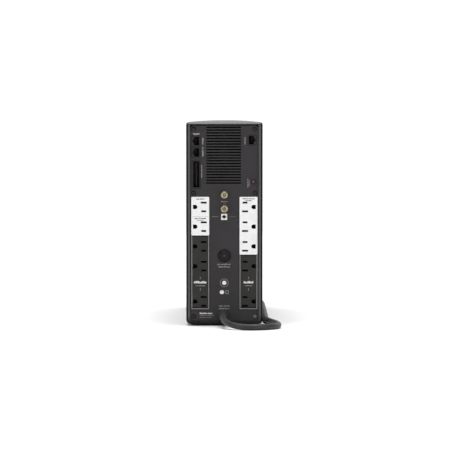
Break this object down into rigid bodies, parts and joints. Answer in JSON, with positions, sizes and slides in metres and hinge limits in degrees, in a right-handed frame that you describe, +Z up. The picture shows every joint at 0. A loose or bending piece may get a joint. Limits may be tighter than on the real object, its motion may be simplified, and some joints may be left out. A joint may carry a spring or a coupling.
{
  "type": "uninterruptible power supply",
  "caption": "Tower uninterruptible power supply with rear outlets, data and coaxial jacks, a vented fan, a resettable breaker, front buttons and a removable battery door.",
  "frame": {"origin": "middle of the tower's base, on the surface that the feet stand on", "axes": "+Z up; the connector panel faces -Y and the display faces +Y; +X is to the right as the connector panel is seen"},
  "size_m": [0.1431, 0.5958, 0.302],
  "materials": {
    "case_plastic": "satin",
    "side_plastic": "satin",
    "top_plastic": "satin",
    "gloss_black": "gloss",
    "dark_plastic": "satin",
    "socket_black": "matte",
    "label_white": "satin",
    "rubber": "matte",
    "cord_jacket": "satin",
    "nickel": "satin",
    "steel": "satin",
    "aluminium": "satin",
    "core_steel": "matte",
    "winding": "satin",
    "circuit_board": "satin",
    "smoked_window": "gloss",
    "display_grey": "satin",
    "battery_grey": "matte",
    "led_red": "gloss"
  },
  "bodies": {
    "chassis": {"left_side_shell": "side_plastic", "right_side_shell": "side_plastic", "base_tray": "side_plastic", "top_cover": "top_plastic", "rear_panel": "case_plastic", "front_bezel": "gloss_black", "outlet_block_left": "dark_plastic", "outlet_block_right": "dark_plastic", "battery_cradle": "dark_plastic", "capacitor_1": "dark_plastic", "capacitor_2": "dark_plastic", "transfer_relay": "dark_plastic", "network_jack_in": "socket_black", "network_jack_out": "socket_black", "data_port": "socket_black", "battery_socket": "socket_black", "breaker_body": "socket_black", "breaker_ring": "socket_black", "fan_frame": "socket_black", "alarm_buzzer": "socket_black", "outlet_label_left": "label_white", "outlet_label_right": "label_white", "base_plinth": "rubber", "foot_rear_left": "rubber", "foot_rear_right": "rubber", "foot_front_left": "rubber", "foot_front_right": "rubber", "strain_relief": "rubber", "mains_plug": "rubber", "power_cord": "cord_jacket", "power_cord_coil": "cord_jacket", "power_cord_tail": "cord_jacket", "coax_in": "nickel", "coax_out": "nickel", "coax_nut_in": "nickel", "coax_nut_out": "nickel", "panel_screw_1": "steel", "panel_screw_2": "steel", "panel_screw_3": "steel", "panel_screw_4": "steel", "panel_screw_5": "steel", "panel_screw_6": "steel", "transformer_bracket": "steel", "heatsink_left": "aluminium", "heatsink_right": "aluminium", "transformer_core": "core_steel", "transformer_winding": "winding", "display_board": "circuit_board", "main_board": "circuit_board", "display_window": "smoked_window", "lcd_module": "display_grey", "battery_lower": "battery_grey", "battery_upper": "battery_grey", "wiring_fault_led": "led_red"},
    "power_key": {"power_button": "gloss_black"},
    "mute_key": {"mute_button": "gloss_black"},
    "display_key": {"display_button": "gloss_black"},
    "breaker_reset": {"breaker_button": "socket_black"},
    "fan_rotor": {"fan_impeller": "socket_black"},
    "battery_cover": {"battery_door": "side_plastic"}
  },
  "joints": [
    {"name": "power_key_press", "type": "slide", "parent": "chassis", "child": "power_key", "axis": [0, -1, 0], "range_m": [0, 0.0012], "stiffness_N_per_m": 800},
    {"name": "mute_key_press", "type": "slide", "parent": "chassis", "child": "mute_key", "axis": [0, -1, 0], "range_m": [0, 0.0012], "stiffness_N_per_m": 800},
    {"name": "display_key_press", "type": "slide", "parent": "chassis", "child": "display_key", "axis": [0, -1, 0], "range_m": [0, 0.0012], "stiffness_N_per_m": 800},
    {"name": "breaker_pop", "type": "slide", "parent": "chassis", "child": "breaker_reset", "axis": [0, -1, 0], "range_m": [0, 0.005]},
    {"name": "fan_spin", "type": "hinge", "parent": "chassis", "child": "fan_rotor", "pos_m": [-0.001, -0.166, 0.2505], "axis": [0, 1, 0], "continuous": true},
    {"name": "battery_cover_lift", "type": "slide", "parent": "chassis", "child": "battery_cover", "axis": [-1, 0, 0], "range_m": [0, 0.08]}
  ]
}
